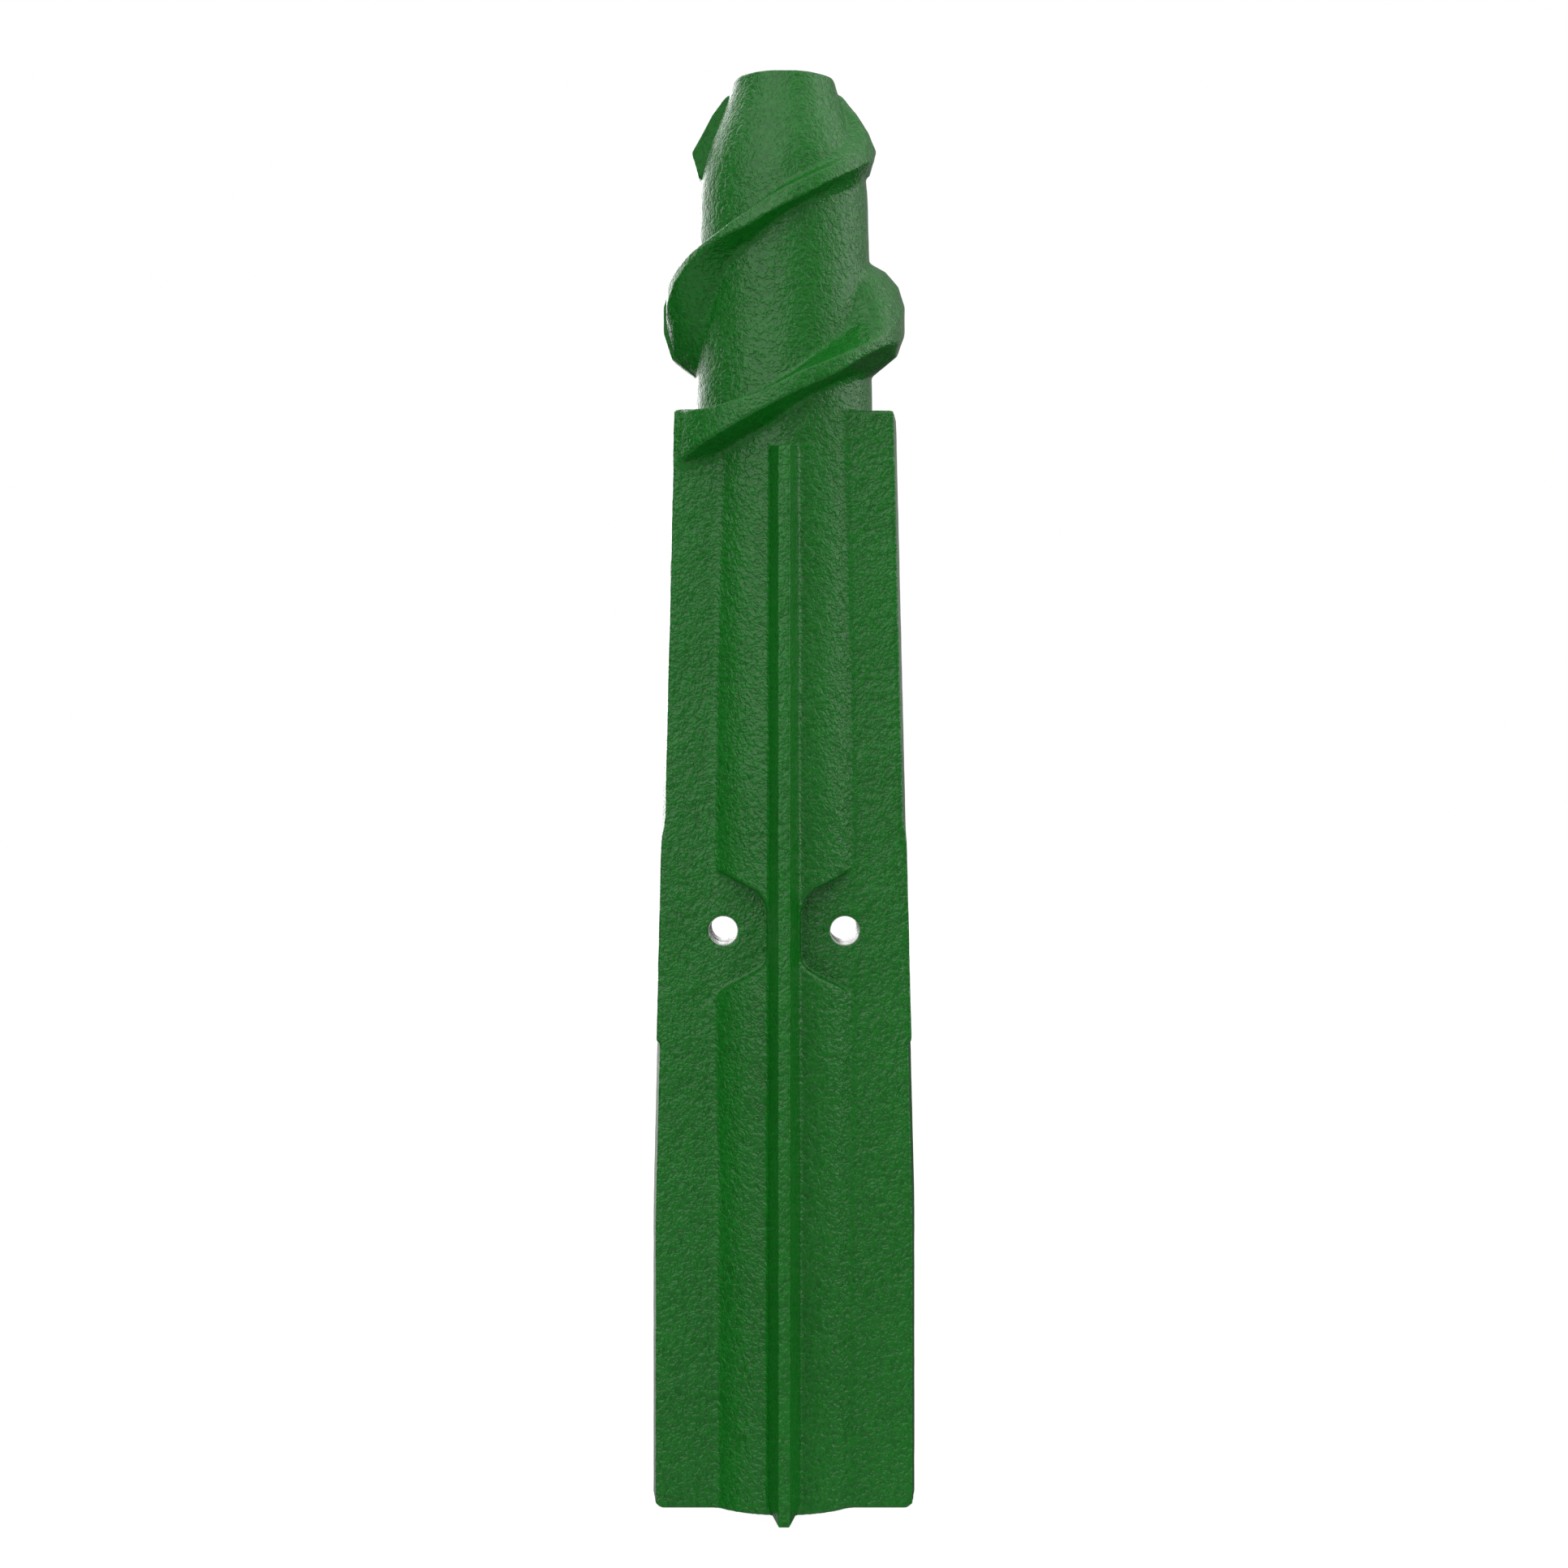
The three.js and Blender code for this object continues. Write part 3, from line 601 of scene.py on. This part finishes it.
def relief_height(shader, coords, pebble):
    """Leathery pebble with fine orange peel, low swells, lumps and creases."""
    fine = shader.noise(coords, scale=PEBBLE * 2.6, detail=2.0, distortion=0.3)
    swell = shader.noise(coords, scale=PEBBLE * 0.32, detail=1.0, distortion=0.2)
    lumps = shader.node("TexVoronoi", feature="SMOOTH_F1")
    shader.feed(lumps, {"Scale": PEBBLE * 0.75, "Smoothness": 0.8, "Randomness": 1.0,
                        "Vector": coords})
    folds = shader.noise(coords, scale=PEBBLE * 0.62, detail=1.5, distortion=1.2)
    mid_level, steepness, softness = 0.5, 4.0, 0.7
    crease = shader.calc("ABSOLUTE", shader.calc("SUBTRACT", folds, mid_level))
    crease = shader.calc("MULTIPLY", crease, steepness, clamp=True)
    crease = shader.calc("POWER", crease, softness)
    height = shader.calc("ADD", shader.calc("MULTIPLY", pebble, PEBBLE_WEIGHT),
                         shader.calc("MULTIPLY", fine, FINE_WEIGHT))
    for layer, weight in ((crease, CREASE_WEIGHT), (swell, SWELL_WEIGHT),
                          (lumps.outputs["Distance"], -CELL_WEIGHT)):
        height = shader.calc("ADD", height, shader.calc("MULTIPLY", layer, weight))
    return height


def facing_masks(shader, coords, normal):
    """How far the skin faces outward, and how far it is from the parting plane."""
    place = shader.node("SeparateXYZ", {0: coords})
    facing = shader.node("SeparateXYZ", {0: normal})
    x, y = place.outputs[0], place.outputs[1]
    least = 0.001   # avoids dividing by zero on the axis
    radius = shader.calc("MAXIMUM", shader.length(x, y), least)
    dot = shader.calc("ADD", shader.calc("MULTIPLY", x, facing.outputs[0]),
                      shader.calc("MULTIPLY", y, facing.outputs[1]))
    radial = shader.calc("DIVIDE", dot, radius)
    outward = shader.calc("MAXIMUM", shader.calc("ABSOLUTE", radial),
                          shader.calc("ABSOLUTE", facing.outputs[1]))
    outward = shader.rise(outward, start=0.22, gain=2.6)
    outward = shader.linear(outward, gain=0.88, offset=0.12)
    away = shader.rise(shader.calc("ABSOLUTE", y), start=0.0004, gain=2500)
    return outward, away, facing.outputs[2]


def paint_material():
    material = bpy.data.materials.new("cast_green_paint")
    shader = Shader(material)
    output = shader.node("OutputMaterial")
    surface = shader.node("BsdfPrincipled")
    shader.feed(output, {0: surface.outputs[0]})
    source = shader.node("TexCoord")
    coords = source.outputs["Object"]
    colour, pebble, bore = paint_colour(shader, coords)
    height = relief_height(shader, coords, pebble)
    outward, away, facing_up = facing_masks(shader, coords, source.outputs["Normal"])
    # relief fades on drafted flanks and at the parting plane
    bump = shader.node("Bump", {"Distance": BUMP})
    strength = shader.calc("MULTIPLY", outward, shader.linear(away, gain=0.6, offset=0.4))
    shader.feed(bump, {"Strength": strength, "Height": height})
    # gloss
    satin = shader.linear(shader.noise(coords, scale=75, detail=3, roughness=0.6),
                          gain=0.16, offset=ROUGHNESS - 0.08)
    bore_extra, down_gain = 0.1, -2.5
    roughness = shader.calc("ADD", satin, shader.calc("MULTIPLY", bore, bore_extra))
    under = shader.calc("MULTIPLY", facing_up, down_gain, clamp=True)
    loss = shader.calc("MULTIPLY", under, UNDER_LOSS)
    sheen = shader.calc("MULTIPLY", outward, shader.calc("SUBTRACT", SPECULAR_GAIN, loss))
    sheen = shader.calc("MULTIPLY", sheen, shader.linear(away, gain=0.7, offset=0.3))
    shader.feed(surface, {
        "Base Color": colour, "Normal": bump.outputs[0], "Roughness": roughness,
        "Specular IOR Level": shader.calc("ADD", sheen, SPECULAR_FLOOR)})
    return material


# ---------------------------------------------------------------------------
# Stage, light and camera, metres
# ---------------------------------------------------------------------------
# compass bearing in degrees (0 is the camera side, + to the right), light level
BEARING = [
    (-180, 1.5), (-178, 1.5), (-176, 0.5), (-172, 2.3), (-160, 2.0), (-150, 1.1), (-125, 0.8),
    (-112, 0.45), (-105, 0.12), (-72, 0.14), (-64, 0.5), (-58, 0.92), (-20, 1.0), (-3, 1.0),
    (2, 0.55), (12, 0.5), (16, 0.25), (44, 0.27), (50, 0.5), (60, 0.62), (72, 0.78),
    (85, 1.15), (115, 1.2), (120, 0.4), (135, 0.2), (176, 0.2), (178, 1.5), (180, 1.5),
]
# the same for light from below the horizon
LOW = [(-180, 0.12), (-100, 0.12), (-70, 0.4), (-50, 1.1), (50, 1.1), (100, 0.9), (122, 0.12),
       (180, 0.12)]
# elevation in degrees, light level
HEIGHT = [(-90, 0.5), (-35, 0.4), (-20, 0.28), (-2, 0.25), (0, 0.95), (2, 1.42), (22, 1.38),
          (40, 1.4), (62, 0.8), (90, 0.8)]
OVERHEAD_LEVEL = 1.0        # level overhead, where the bearing no longer matters
OVERHEAD_START = 35         # degrees up or down where the change to it starts
OVERHEAD_SPAN = 35          # degrees it takes
STUDIO_LEVEL = 1.36
FLOOR_HALF = 12.0


def lookup(shader, value, table):
    """Piecewise-linear lookup as a colour ramp, levels scaled to at most 1."""
    low, high = table[0][0], table[-1][0]
    top = max(level for _, level in table)
    span = shader.node("MapRange", {"From Min": low, "From Max": high, "Value": value})
    ramp = shader.node("ValToRGB")
    ramp.color_ramp.interpolation = "LINEAR"
    elements = ramp.color_ramp.elements
    while len(elements) < len(table):
        elements.new(0.5)
    for element, (place, _) in zip(elements, table):
        element.position = (place - low) / (high - low)
    for element, (_, level) in zip(elements, table):
        element.color = (level / top, level / top, level / top, 1)
    shader.feed(ramp, {0: span.outputs[0]})
    return shader.calc("MULTIPLY", ramp.outputs[0], top)


def studio_world():
    """Light by bearing and elevation; the camera itself sees plain white."""
    world = bpy.data.worlds.new("studio")
    bpy.context.scene.world = world
    shader = Shader(world)
    calc = shader.calc
    output = shader.node("OutputWorld")
    source = shader.node("TexCoord")
    ray = shader.node("SeparateXYZ", {0: source.outputs["Generated"]})
    degrees = 180 / math.pi
    toward_camera = calc("MULTIPLY", ray.outputs[1], -1.0)
    bearing = calc("MULTIPLY", calc("ARCTAN2", ray.outputs[0], toward_camera), degrees)
    height = calc("MULTIPLY", calc("ARCSINE", ray.outputs[2]), degrees)
    down = shader.node("MapRange", {"From Min": -8.0, "From Max": -20.0,
                                    "Value": height}).outputs[0]
    around = calc("ADD",
                  calc("MULTIPLY", lookup(shader, bearing, BEARING), calc("SUBTRACT", 1.0, down)),
                  calc("MULTIPLY", lookup(shader, bearing, LOW), down))
    level = calc("MULTIPLY", around, lookup(shader, height, HEIGHT))
    steep = calc("SUBTRACT", calc("ABSOLUTE", height), OVERHEAD_START)
    steep = calc("MULTIPLY", calc("MAXIMUM", steep, 0.0), 1 / OVERHEAD_SPAN)
    steep = calc("MINIMUM", steep, 1.0)
    even = calc("MULTIPLY", lookup(shader, height, HEIGHT), OVERHEAD_LEVEL)
    level = calc("ADD", calc("MULTIPLY", level, calc("SUBTRACT", 1.0, steep)),
                 calc("MULTIPLY", even, steep))
    level = calc("MULTIPLY", level, STUDIO_LEVEL)
    lit = shader.node("Background", {"Strength": level})
    seen = shader.node("Background", {"Color": (1, 1, 1, 1), "Strength": 1.0})
    path = shader.node("LightPath")
    mix = shader.node("MixShader", {0: path.outputs["Is Camera Ray"], 1: lit.outputs[0],
                                    2: seen.outputs[0]})
    shader.feed(output, {0: mix.outputs[0]})


def white_floor():
    """A floor that glows white to the camera and is grey to other rays."""
    mesh = bpy.data.meshes.new("floor")
    s = FLOOR_HALF
    mesh.from_pydata([(-s, -s, 0), (s, -s, 0), (s, s, 0), (-s, s, 0)], [], [(0, 1, 2, 3)])
    floor = add_object("floor", mesh)
    material = bpy.data.materials.new("floor_white")
    shader = Shader(material)
    output = shader.node("OutputMaterial")
    grey = shader.node("BsdfDiffuse", {"Color": (0.30, 0.30, 0.30, 1)})
    pale = shader.node("BsdfDiffuse", {"Color": (0.22, 0.22, 0.22, 1)})
    glow = shader.node("Emission", {"Strength": 0.9})
    white = shader.node("AddShader", {0: pale.outputs[0], 1: glow.outputs[0]})
    path = shader.node("LightPath")
    pick = shader.node("MixShader", {0: path.outputs["Is Camera Ray"], 1: grey.outputs[0],
                                     2: white.outputs[0]})
    shader.feed(output, {0: pick.outputs[0]})
    mesh.materials.append(material)
    floor.visible_diffuse = False
    floor.visible_glossy = False


def overhead_light():
    light = bpy.data.lights.new("soft_overhead", "AREA")
    light.shape = "RECTANGLE"
    light.size, light.size_y = 1.6, 1.2
    light.energy = 2.5
    place, target = Vector((-0.5, -1.1, 2.2)), Vector((0, 0, 0.3))
    lamp = add_object("soft_overhead", light)
    lamp.location = place
    lamp.rotation_euler = (target - place).to_track_quat("-Z", "Y").to_euler()


def front_camera():
    data = bpy.data.cameras.new("camera")
    data.sensor_width = 36.0
    data.lens = 64.14
    data.clip_end = 50
    camera = add_object("camera", data)
    camera.location = (0.0, -1.0928, 0.27746)
    camera.rotation_euler = (math.pi / 2, 0, 0)
    bpy.context.scene.camera = camera


front, rear = casting_halves()
paint = paint_material()
for half, node, body in ((front, "roll_half_front", "front_half"),
                         (rear, "roll_half_rear", "rear_half")):
    half.data.materials.clear()
    half.data.materials.append(paint)
    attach(half, body)
    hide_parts(node)

studio_world()
white_floor()
overhead_light()
front_camera()
view = bpy.context.scene.view_settings
view.view_transform = "Standard"
view.look = "None"
